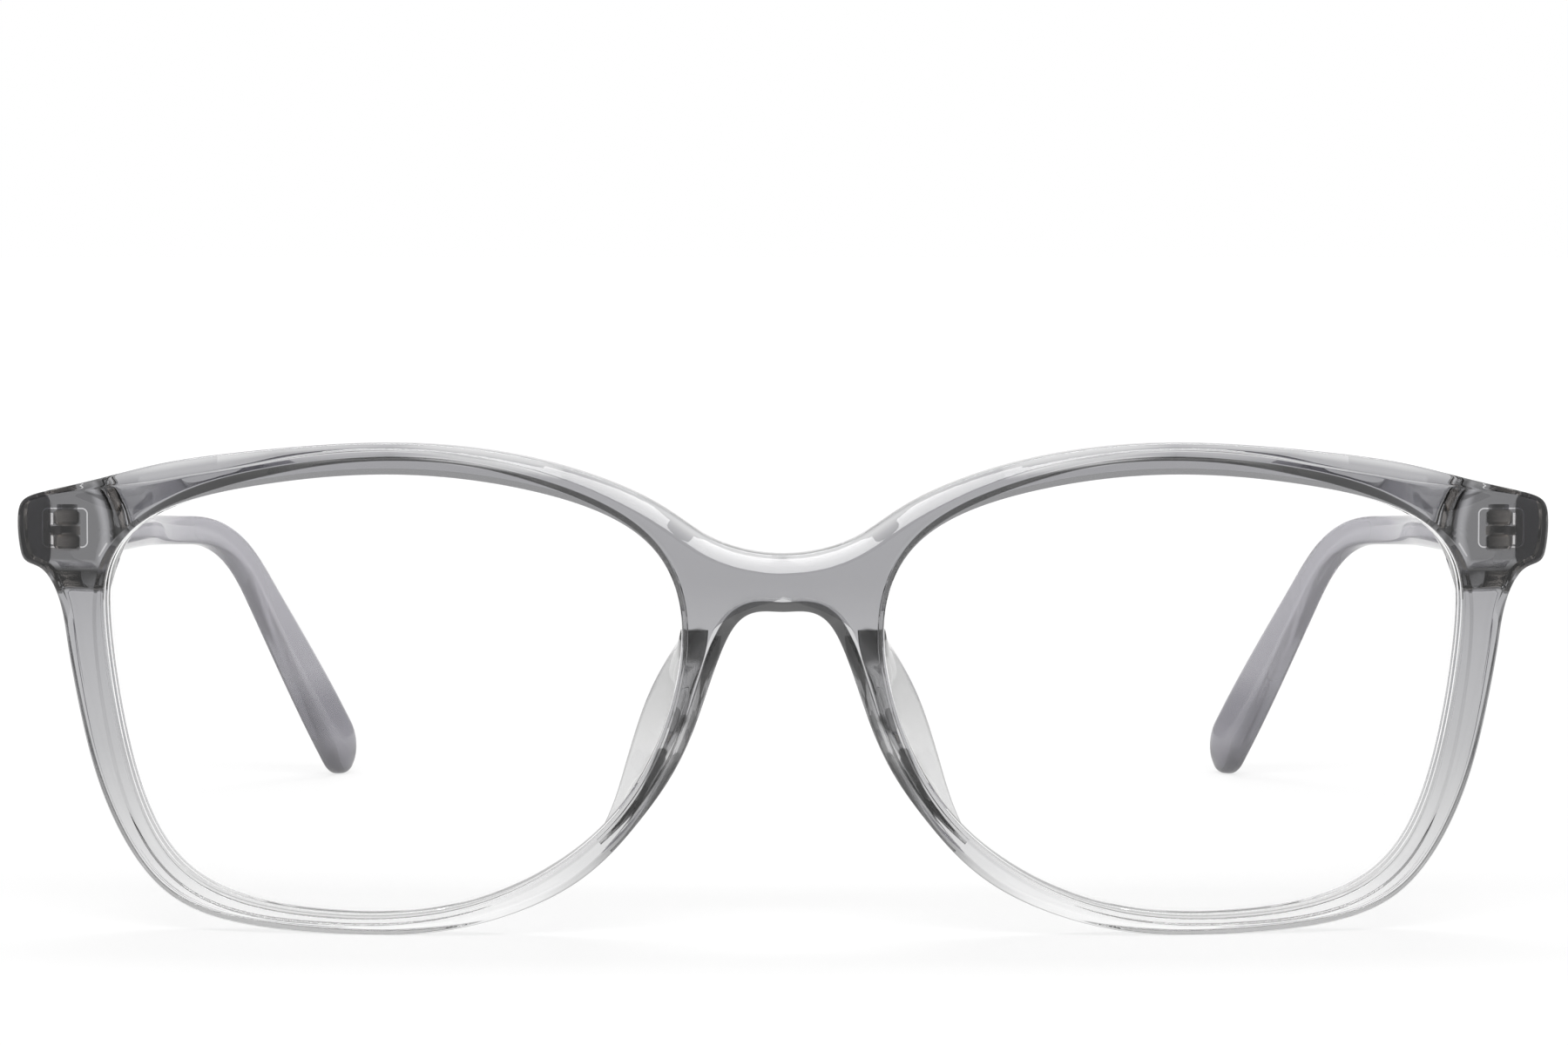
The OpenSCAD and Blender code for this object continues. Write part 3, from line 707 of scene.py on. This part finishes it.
def maths(tree):
    # gives a function that adds a Math node: its operation, then one or two inputs
    def calc(operation, a, b=0):
        return addNode(tree, "ShaderNodeMath", {0: a, 1: b}, operation=operation).outputs[0]
    return calc


def vectorMath(tree, operation, inputs, output="Vector"):
    return addNode(tree, "ShaderNodeVectorMath", inputs, operation=operation).outputs[output]


def mapped(tree, value, low, high, least=0, most=1, kind="SMOOTHSTEP"):
    # least where the value is low or below, most where it is high or above
    ends = {"Value": value, "From Min": low, "From Max": high, "To Min": least, "To Max": most}
    return addNode(tree, "ShaderNodeMapRange", ends, interpolation_type=kind).outputs["Result"]


def mixed(tree, share, first, second):
    # the first colour where the share is 0, the second where it is 1
    colours = {0: share, 6: first, 7: second}
    return addNode(tree, "ShaderNodeMix", colours, data_type="RGBA").outputs[2]


def noise(tree, coord, scale, detail):
    inputs = {"Vector": coord, "Scale": scale, "Detail": detail}
    return addNode(tree, "ShaderNodeTexNoise", inputs).outputs["Fac"]


def objectCoord(tree):
    return addNode(tree, "ShaderNodeTexCoord").outputs["Object"]


def tintRamp(tree, coord, stops, low, high):
    # colours up the part, from object height low to high in metres
    split = addNode(tree, "ShaderNodeSeparateXYZ", {0: coord})
    height = mapped(tree, split.outputs["Z"], low, high, kind="LINEAR")
    ramp = addNode(tree, "ShaderNodeValToRGB", {"Fac": height})
    points = ramp.color_ramp.elements
    for place, colour in stops[1:-1]:
        points.new(place)
    for point, (place, colour) in zip(sorted(points, key=lambda e: e.position), stops):
        point.position, point.color = place, (*colour, 1)
    return ramp.outputs["Color"]


# the shallow pocket cut for the hinge in the back of each end piece, drawn only in the tint,
# its outline and the clear gaps beside the hinge's blocks as painted highlights and its floor
# as painted shade, and the painted shade of the slopes round the block, in millimetres
pocket = {
    "x": 64.7, "z": 36.52, "halfX": 2.05, "halfZ": 1.74, "corner": 0.5, "line": 0.06,
    # how strongly the outline and the gaps are painted as highlights, and the floor as shade
    "lineHighlight": 0.75, "deep": 0.85, "behind": -59.5,
    "gap": (65.8, 66.12), "gapMiddle": 36.44, "gapFrom": 0.35, "gapTo": 1.42, "gapHighlight": 1.0,
}
slopes = {
    "ahead": -62.2, "x": 59.75, "bend": 0.11, "bendFrom": 37.0, "half": 1.1, "low": 34.8,
    "high": 42.0, "endSoft": 1.0, "footZ": 32.8, "footHalf": 1.25, "footTo": 60.9,
    "wave": 2.0, "waveScale": 350.0, "waveDetail": 1.0, "deep": 0.92,
}

# short marks of painted light in the clear plastic, each from one (distance from the middle,
# height) to another with a half width at each end: painted shade, dark where the light is
# bent away, and painted highlights, clear, with a tone below 0, where it glints
paintedMarks = [
    {"from": (10.8, 16.9), "to": (14.2, 9.7), "half": (0.62, 0.1), "soft": 0.2, "tone": 0.9},
    {"from": (8.8, 20.0), "to": (9.5, 18.9), "half": (0.55, 0.4), "soft": 0.4, "tone": 0.85},
    {"from": (7.5, 27.5), "to": (8.2, 26.2), "half": (0.85, 0.6), "soft": 0.5, "tone": 0.6},
    {"from": (9.1, 18.4), "to": (10.1, 16.5), "half": (0.3, 0.45), "soft": 0.1, "tone": -1.0},
    {"from": (60.75, 35.4), "to": (61.45, 34.3), "half": (0.12, 0.12), "soft": 0.1, "tone": -1.0},
    {"from": (63.5, 32.35), "to": (64.4, 32.3), "half": (0.15, 0.15), "soft": 0.1, "tone": -1.0},
    {"from": (62.9, 40.1), "to": (61.0, 39.5), "half": (0.1, 0.35), "soft": 0.2, "tone": 0.8},
    {"from": (60.7, 40.6), "to": (59.6, 39.4), "half": (0.5, 0.55), "soft": 0.4, "tone": 0.8},
    {"from": (59.5, 39.4), "to": (59.3, 35.6), "half": (0.4, 0.25), "soft": 0.3, "tone": 0.6},
    {"from": (57.5, 41.5), "to": (45.0, 43.4), "half": (0.8, 0.7), "soft": 0.7, "tone": -0.5},
    {"from": (45.0, 43.4), "to": (35.0, 44.0), "half": (0.7, 0.6), "soft": 0.6, "tone": -0.5},
    {"from": (35.0, 44.0), "to": (20.0, 42.1), "half": (0.6, 0.8), "soft": 0.6, "tone": -0.5},
]


def within(tree, value, low, high, soft=0.0):
    # 1 where the value lies between low and high, easing off over the soft length
    calc = maths(tree)
    inside = calc("MINIMUM", calc("SUBTRACT", value, low), calc("SUBTRACT", high, value))
    return mapped(tree, inside, 0, soft) if soft else calc("GREATER_THAN", inside, 0)


def partPlace(tree, coord):
    # the distance from the middle plane, the depth and the height, in millimetres
    size = vectorMath(tree, "SCALE", {0: coord, "Scale": 1 / mm})
    x, y, z = addNode(tree, "ShaderNodeSeparateXYZ", {0: size}).outputs
    return maths(tree)("ABSOLUTE", x), y, z


def pocketPaintedLight(tree, place):
    # a painted highlight, a fine line where the distance to a rounded rectangle is near 0, and
    # painted highlights in the clear gaps beside the hinge's blocks, then painted shade on its
    # darker floor where that is below 0, on the back faces only
    calc = maths(tree)
    x, y, z = place
    gaps = []
    for value, name in ((x, "x"), (z, "z")):
        off = calc("ABSOLUTE", calc("SUBTRACT", value, pocket[name]))
        gaps.append(calc("SUBTRACT", off, pocket["half" + name.upper()] - pocket["corner"]))
    past = [calc("MAXIMUM", gap, 0) for gap in gaps]
    outside = calc("SQRT", calc("ADD", *[calc("MULTIPLY", gap, gap) for gap in past]))
    inside = calc("MINIMUM", calc("MAXIMUM", *gaps), 0)
    distance = calc("SUBTRACT", calc("ADD", outside, inside), pocket["corner"])
    line = within(tree, distance, -pocket["line"], pocket["line"])
    up = calc("ABSOLUTE", calc("SUBTRACT", z, pocket["gapMiddle"]))
    beside = within(tree, up, pocket["gapFrom"], pocket["gapTo"])
    beside = calc("MULTIPLY", within(tree, x, *pocket["gap"]), beside)
    clear = calc(
        "MAXIMUM", calc("MULTIPLY", line, pocket["lineHighlight"]),
        calc("MULTIPLY", beside, pocket["gapHighlight"]),
    )
    floor = calc("MULTIPLY", calc("LESS_THAN", distance, 0), pocket["deep"])
    behind = calc("GREATER_THAN", y, pocket["behind"])
    return calc("MULTIPLY", clear, behind), calc("MULTIPLY", floor, behind)


def slopeShade(tree, place, coord):
    # painted shade on the front face: a curved band before the slope beside the block, and a wavy
    # one before the slope below it
    calc = maths(tree)
    x, y, z = place
    above = calc("MAXIMUM", calc("SUBTRACT", z, slopes["bendFrom"]), 0)
    curve = calc("MULTIPLY", calc("MULTIPLY", above, above), slopes["bend"])
    across = calc("SUBTRACT", calc("SUBTRACT", x, slopes["x"]), curve)
    half, footHalf = slopes["half"], slopes["footHalf"]
    side = within(tree, z, slopes["low"], slopes["high"], slopes["endSoft"])
    side = calc("MULTIPLY", within(tree, across, -half, half, half), side)
    ripple = noise(tree, coord, slopes["waveScale"], slopes["waveDetail"])
    wave = calc("MULTIPLY", calc("SUBTRACT", ripple, 0.5), slopes["wave"])
    low, high = slopes["footZ"] - footHalf, slopes["footZ"] + footHalf
    foot = within(tree, calc("ADD", z, wave), low, high, footHalf)
    foot = calc("MULTIPLY", foot, calc("GREATER_THAN", x, slopes["footTo"]))
    return calc("MULTIPLY", calc("MAXIMUM", side, foot), slopes["deep"])


def paintedMarkTones(tree, place):
    # the marks' painted highlight (clear) and painted shade (dark) shares: how far inside each
    # one's width a point lies, by its distance from the nearest point of the mark's middle line
    calc = maths(tree)
    x, y, z = place
    point = addNode(tree, "ShaderNodeCombineXYZ", {"X": x, "Z": z}).outputs[0]
    tones = {True: 0.0, False: 0.0}
    for mark in paintedMarks:
        start, end = np.array(mark["from"]), np.array(mark["to"])
        way, (wide, narrow) = end - start, mark["half"]
        toward = way / (way @ way)
        off = vectorMath(tree, "SUBTRACT", {0: point, 1: (start[0], 0, start[1])})
        ends = {0: off, 1: (toward[0], 0, toward[1])}
        share = vectorMath(tree, "DOT_PRODUCT", ends, "Value")
        share = calc("MINIMUM", calc("MAXIMUM", share, 0), 1)
        near = vectorMath(tree, "SCALE", {0: (way[0], 0, way[1]), "Scale": share})
        apart = vectorMath(tree, "DISTANCE", {0: off, 1: near}, "Value")
        half = calc("ADD", calc("MULTIPLY", share, narrow - wide), wide)
        inside = mapped(tree, calc("SUBTRACT", half, apart), 0, mark["soft"])
        clear = mark["tone"] < 0
        tone = calc("MULTIPLY", inside, abs(mark["tone"]))
        tones[clear] = calc("MAXIMUM", tones[clear], tone)
    return tones[True], tones[False]


def grey(value, blue=0.0):
    return (value, value, value + blue)


# "low" and "high" are the heights, in metres, of the tint's first and last stop
finishes = {
    "front": {
        "low": 0.0, "high": 0.0446, "rough": (0.0, 0.02),
        "stops": [
            (0.0, grey(0.97)), (0.06, grey(0.95)), (0.15, grey(0.74, 0.004)),
            (0.27, grey(0.61, 0.006)), (0.38, grey(0.5, 0.01)), (0.6, grey(0.42, 0.014)),
            (0.72, grey(0.35, 0.014)), (1.0, grey(0.33, 0.016)),
        ],
    },
    "temple": {
        "low": 0.0, "high": 0.039, "rough": (0.05, 0.08), "through": 0.65,
        # painted shade: the lilac tint darkens towards the lowest parts, the tips, with a darker
        # band a little above them
        "stops": [
            (0.0, (0.12, 0.12, 0.15)), (0.05, (0.18, 0.17, 0.21)), (0.1, (0.34, 0.33, 0.38)),
            (0.16, (0.27, 0.26, 0.31)), (0.22, (0.3, 0.29, 0.34)), (0.31, (0.49, 0.48, 0.53)),
            (0.6, (0.58, 0.57, 0.62)), (1.0, (0.64, 0.63, 0.68)),
        ],
    },
    "pad": {
        "low": 0.008, "high": 0.028, "rough": (0.01, 0.03),
        # painted shade: the pad's tint darkens towards its top
        "stops": [(0.0, grey(0.78)), (0.45, grey(0.74)), (0.75, grey(0.55)), (1.0, grey(0.5))],
    },
    "lens": {
        "low": 0.0, "high": 0.045, "rough": (0.0, 0.0), "shine": 0.05, "ior": 1.5,
        "stops": [(0.0, grey(0.995)), (1.0, grey(0.99))],
    },
}
# the tint where it has faded to clear, for thin plastic and painted highlights, and where it
# is darkest, for painted shade
fadeEnds = (0.97, 0.02)
hairlines = {"scale": 900.0, "detail": 4.0}


def clearPlastic(name, stops, low, high, rough, through=1.0, shine=0.5, ior=1.49,
                 thinningAndPaintedLight=False, endPaintedLight=False):
    # tinted clear plastic with the finest hairlines of polishing. With the per-point fade, the
    # piece's thin edges clear the tint and its painted highlights and painted shade clear or
    # darken it, and so, on the end piece, do the pocket's painted highlights and shade, the
    # slopes' painted shade and the marks' painted light
    material, tree, shader = newMaterial(name)
    calc, coord = maths(tree), objectCoord(tree)
    shader.inputs["Transmission Weight"].default_value = through
    shader.inputs["Specular IOR Level"].default_value = shine
    shader.inputs["IOR"].default_value = ior
    tint = tintRamp(tree, coord, stops, low, high)
    if thinningAndPaintedLight:
        above = addNode(tree, "ShaderNodeAttribute", attribute_name="fadeAndPaintedLight").outputs["Fac"]
        below = calc("MULTIPLY", above, -1)
        if endPaintedLight:
            place = partPlace(tree, coord)
            ahead = calc("LESS_THAN", place[1], slopes["ahead"])
            line, floor = pocketPaintedLight(tree, place)
            clear, dark = (calc("MULTIPLY", tone, ahead) for tone in paintedMarkTones(tree, place))
            slope = calc("MULTIPLY", slopeShade(tree, place, coord), ahead)
            line = calc("MAXIMUM", line, clear)
            above = calc("MAXIMUM", above, line)
            for share in (floor, slope, dark):
                below = calc("MAXIMUM", below, share)
            below = calc("SUBTRACT", below, line)
        # the tint mixes towards clear for thin plastic and painted highlights, and towards near
        # black for painted shade
        for share, end in zip((above, below), fadeEnds):
            tint = mixed(tree, share, tint, (end, end, end, 1))
    feed(tree, shader.inputs["Base Color"], tint)
    if rough[0] == rough[1]:
        shader.inputs["Roughness"].default_value = rough[0]
    else:
        wear = noise(tree, coord, **hairlines)
        feed(tree, shader.inputs["Roughness"], mapped(tree, wear, 0, 1, *rough, "LINEAR"))
    return material


frontPlastic = clearPlastic("crystalGrey", **finishes["front"], thinningAndPaintedLight=True, endPaintedLight=True)
templePlastic = clearPlastic("crystalLilac", **finishes["temple"])
padPlastic = clearPlastic("clearPad", **finishes["pad"], thinningAndPaintedLight=True)
lensGlass = clearPlastic("coatedLens", **finishes["lens"])

# "grain" squeezes the brushed lines along each axis. The blocks let into the plastic darken
# to the "shade" towards the middle of the face, and between their knuckles: painted shade
metals = {
    "nickelSilver": {"colour": (0.82, 0.76, 0.7), "rough": (0.1, 0.2), "grain": (0.2, 1, 1)},
    "brightSteel": {"colour": (0.68, 0.68, 0.69), "rough": (0.12, 0.25), "grain": (1, 1, 0.2)},
}
brushing = {"scale": 2500.0, "detail": 3.0, "dull": 0.75, "strength": 0.2, "height": 0.00002}
sunkShade = {
    "from": 65.2, "over": 1.8, "slit": 36.4, "slitHalf": 0.3, "ahead": -56.3,
    "shade": (0.02, 0.018, 0.016),
}


def metal(name, colour, rough, grain, withSunkShade=False):
    # bare metal with brushed lines in its colour, gloss and relief, and, on the blocks let into
    # the plastic, painted shade
    material, tree, shader = newMaterial(name)
    calc, coord = maths(tree), objectCoord(tree)
    stretch = addNode(tree, "ShaderNodeMapping", {"Vector": coord, "Scale": grain})
    lines = noise(tree, stretch.outputs["Vector"], brushing["scale"], brushing["detail"])
    dull = [brushing["dull"] * c for c in colour]
    tint = mixed(tree, lines, (*dull, 1), (*colour, 1))
    if withSunkShade:
        # painted shade, darker towards the middle of the blocks' faces and in the slit between their
        # knuckles, on the front of the hinge only
        x, y, z = partPlace(tree, coord)
        far = calc("DIVIDE", calc("SUBTRACT", sunkShade["from"], x), sunkShade["over"])
        slit = calc("ABSOLUTE", calc("SUBTRACT", z, sunkShade["slit"]))
        far = calc("MAXIMUM", far, calc("LESS_THAN", slit, sunkShade["slitHalf"]))
        far = calc("MULTIPLY", far, calc("LESS_THAN", y, sunkShade["ahead"]))
        tint = mixed(tree, far, tint, (*sunkShade["shade"], 1))
    relief = {"Strength": brushing["strength"], "Distance": brushing["height"], "Height": lines}
    bump = addNode(tree, "ShaderNodeBump", relief)
    shader.inputs["Metallic"].default_value = 1
    feed(tree, shader.inputs["Base Color"], tint)
    feed(tree, shader.inputs["Roughness"], mapped(tree, lines, 0, 1, *rough, "LINEAR"))
    feed(tree, shader.inputs["Normal"], bump.outputs["Normal"])
    return material


hingeMetal = metal("nickelSilver", **metals["nickelSilver"], withSunkShade=True)
screwMetal = metal("brightSteel", **metals["brightSteel"])


# the pieces
def dress(piece, material, body, slot, node):
    piece.data.materials.append(material)
    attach(piece, body)
    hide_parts(node)


dress(makeFront(), frontPlastic, "front", "front_plastic", "front_frame")
print("front made")
for side, mirror in (("Left", False), ("Right", True)):
    hand = side.lower()
    pieces = (
        (makeLens, "lens", lensGlass, "front", "lens", "lens_"),
        (makePad, "nosePad", padPlastic, "front", "clear_plastic", "nose_pad_"),
        (makeTemple, "temple", templePlastic, hand + "_temple", "temple_plastic", "temple_"),
        (makeBarrels, "hingeBarrels", hingeMetal, "front", "hinge_metal", "front_leaf_"),
    )
    for make, name, material, body, slot, node in pieces:
        dress(make(name + side, mirror), material, body, slot, node + hand)
    for node, material in (("temple_leaf_", hingeMetal), ("hinge_screw_", screwMetal)):
        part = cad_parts[node + hand]
        for slotPlace in part.material_slots:
            slotPlace.material = material
print("lenses, pads, temples and hinges made")

# stage, lamps, camera, in metres. The backdrop is a white window behind the glasses as the
# plastic shows it, with a dark studio round it and a dim room on the camera's side
stage = {
    "floorSize": 6.0, "floorTone": 0.25, "glow": (0.77, 1.0), "glowReach": (0.25, 0.9),
    "worldLight": 0.35, "dark": 0.5, "room": 0.3, "above": (0.2, 0.36), "beside": (0.34, 0.52),
}
lamps = {
    "overhead": {"place": (0, 0.28, 0.75), "aim": (0, 0, 0), "size": (0.7, 0.3), "power": 3.0},
    "frontTop": {
        "place": (0, -0.6, 0.62), "aim": (0, -0.04, 0.03), "size": (0.7, 0.22), "power": 3.6,
    },
}
view = {
    "place": (0.000093, -0.56581, 0.07103), "pitch": 3.845, "lens": 128.57, "sensor": 36,
    "near": 0.01, "far": 20,
}


def throughRays(tree):
    # camera rays, and the rays of gloss and clear plastic, which show the backdrop too
    rays = addNode(tree, "ShaderNodeLightPath").outputs
    through = maths(tree)("MAXIMUM", rays["Is Glossy Ray"], rays["Is Transmission Ray"])
    return rays["Is Camera Ray"], through


def makeFloor():
    half, tone = stage["floorSize"] / 2, stage["floorTone"]
    mesh = bpy.data.meshes.new("floor")
    corners = [(-half, -half, 0), (half, -half, 0), (half, half, 0), (-half, half, 0)]
    mesh.from_pydata(corners, [], [(0, 1, 2, 3)])
    floor = bpy.data.objects.new("floor", mesh)
    bpy.context.scene.collection.objects.link(floor)
    material, tree, shader = newMaterial("paleFloor")
    tree.nodes.remove(shader)
    seen = maths(tree)("MAXIMUM", *throughRays(tree))
    away = vectorMath(tree, "LENGTH", {0: objectCoord(tree)}, "Value")
    reach = mapped(tree, away, *stage["glowReach"], *stage["glow"])
    strength = maths(tree)("MULTIPLY", seen, reach)
    plain = addNode(tree, "ShaderNodeBsdfDiffuse", {"Color": (tone, tone, tone, 1)}).outputs[0]
    glow = {"Color": (1, 1, 1, 1), "Strength": strength}
    glow = addNode(tree, "ShaderNodeEmission", glow).outputs[0]
    both = addNode(tree, "ShaderNodeAddShader", {0: plain, 1: glow})
    feed(tree, tree.nodes["Material Output"].inputs["Surface"], both.outputs[0])
    mesh.materials.append(material)


def makeWorld():
    world = bpy.data.worlds.new("studio")
    bpy.context.scene.world = world
    world.use_nodes = True
    tree = world.node_tree
    calc = maths(tree)
    coord = addNode(tree, "ShaderNodeTexCoord").outputs["Generated"]
    x, y, z = addNode(tree, "ShaderNodeSeparateXYZ", {0: coord}).outputs
    window = calc(
        "MINIMUM", mapped(tree, z, *stage["above"], 1, stage["dark"]),
        mapped(tree, calc("ABSOLUTE", x), *stage["beside"], 1, stage["dark"]),
    )
    facing = calc("GREATER_THAN", y, 0)
    room = calc("MULTIPLY", calc("SUBTRACT", 1, facing), stage["room"])
    seen = calc("ADD", calc("MULTIPLY", window, facing), room)
    camera, through = throughRays(tree)
    plain = calc("SUBTRACT", 1, calc("MAXIMUM", camera, through))
    total = calc("ADD", calc("MULTIPLY", seen, through), camera)
    total = calc("ADD", total, calc("MULTIPLY", plain, stage["worldLight"]))
    back = tree.nodes["Background"]
    back.inputs["Color"].default_value = (1, 1, 1, 1)
    feed(tree, back.inputs["Strength"], total)


def makeLamp(name, place, aim, size, power):
    # a lamp looks down its own -Z
    light = bpy.data.lights.new(name, "AREA")
    light.shape, light.size, light.size_y, light.energy = "RECTANGLE", *size, power
    lamp = bpy.data.objects.new(name, light)
    bpy.context.scene.collection.objects.link(lamp)
    toward = np.array(aim, float) - place
    lift = math.atan2(toward[2], math.hypot(toward[0], toward[1]))
    lamp.location = place
    lamp.rotation_euler = (math.pi / 2 + lift, 0, math.atan2(-toward[0], toward[1]))
    lamp.visible_transmission = False


def makeCamera():
    data = bpy.data.cameras.new("camera")
    data.sensor_width, data.lens = view["sensor"], view["lens"]
    data.clip_start, data.clip_end = view["near"], view["far"]
    camera = bpy.data.objects.new("camera", data)
    bpy.context.scene.collection.objects.link(camera)
    camera.location = view["place"]
    camera.rotation_euler = (math.radians(90 - view["pitch"]), 0, 0)
    bpy.context.scene.camera = camera


makeFloor()
makeWorld()
for name, lamp in lamps.items():
    makeLamp(name, **lamp)
makeCamera()
bpy.context.scene.view_settings.view_transform = "Standard"
print("stage made")
